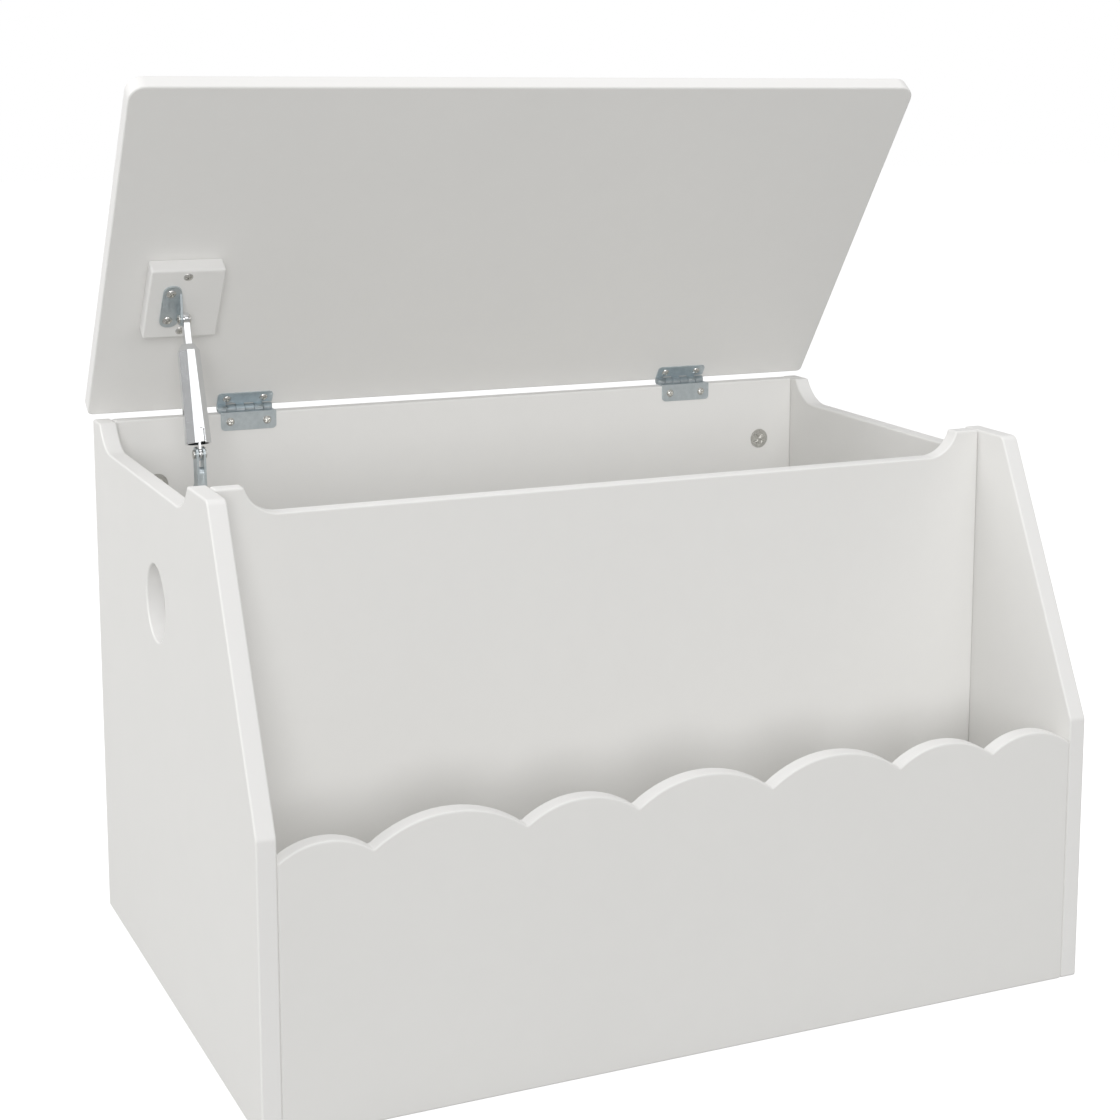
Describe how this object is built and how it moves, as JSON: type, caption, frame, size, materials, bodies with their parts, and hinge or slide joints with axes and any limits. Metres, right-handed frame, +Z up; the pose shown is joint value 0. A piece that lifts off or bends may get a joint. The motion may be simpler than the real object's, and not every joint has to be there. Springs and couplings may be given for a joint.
{
  "type": "storage bench",
  "caption": "Storage bench with a hinged lift-up lid on a folding stay, scooped side panels with hand holes, and a book pocket behind a wavy low front panel.",
  "frame": {"origin": "on the floor, under the middle of the bench's outer box with the lid open as stored", "axes": "+X to the right seen from the front, +Y to the back, +Z up"},
  "size_m": [0.568, 0.4122, 0.5957],
  "materials": {
    "white_paint": "fibreboard with satin off-white paint",
    "zinc_plate": "blue zinc-plated steel",
    "chrome_plate": "bright chrome-plated steel",
    "beech": "bare turned beech"
  },
  "bodies": {
    "box": {"left_side_panel": "white_paint", "right_side_panel": "white_paint", "back_panel": "white_paint", "divider_panel": "white_paint", "front_panel": "white_paint", "floor_panel": "white_paint", "back_cam_locks": "zinc_plate", "divider_cam_locks": "zinc_plate", "front_cam_locks": "zinc_plate", "cam_bolts": "zinc_plate", "wooden_dowels": "beech", "left_hinge_body_leaf": "zinc_plate", "right_hinge_body_leaf": "zinc_plate", "hinge_body_screws": "zinc_plate", "left_hinge_pin": "zinc_plate", "right_hinge_pin": "zinc_plate", "stay_side_bracket": "zinc_plate", "stay_side_bracket_screws": "zinc_plate", "stay_side_stud": "zinc_plate"},
    "lid": {"lid_panel": "white_paint", "left_hinge_lid_leaf": "zinc_plate", "right_hinge_lid_leaf": "zinc_plate", "hinge_lid_screws": "zinc_plate", "stay_block": "white_paint", "stay_block_screws": "zinc_plate", "stay_lid_bracket": "zinc_plate", "stay_lid_bracket_screws": "zinc_plate", "stay_lid_stud": "zinc_plate"},
    "stay_link": {"stay_strap": "chrome_plate", "stay_cover": "chrome_plate", "stay_inner_bar": "chrome_plate", "stay_elbow_rivet": "zinc_plate"},
    "stay_arm": {"stay_lower_arm": "zinc_plate"}
  },
  "joints": [
    {"name": "lid_hinge", "type": "hinge", "parent": "box", "child": "lid", "pos_m": [0, 0.19338, 0.3586], "axis": [-1, 0, 0], "range_deg": [-55.3, 25.7]},
    {"name": "stay_lid_pivot", "type": "hinge", "parent": "lid", "child": "stay_link", "pos_m": [-0.235, 0.11717, 0.43313], "axis": [-1, 0, 0], "range_deg": [-25.7, 55.3]},
    {"name": "stay_foot_pivot", "type": "hinge", "parent": "box", "child": "stay_arm", "pos_m": [-0.242, 0.16404, 0.27141], "axis": [-1, 0, 0], "range_deg": [-55.3, 25.7]}
  ],
  "couplings": [
    {"joint": "stay_lid_pivot", "follows": "lid_hinge", "ratio": -1},
    {"joint": "stay_foot_pivot", "follows": "lid_hinge", "ratio": 1}
  ]
}
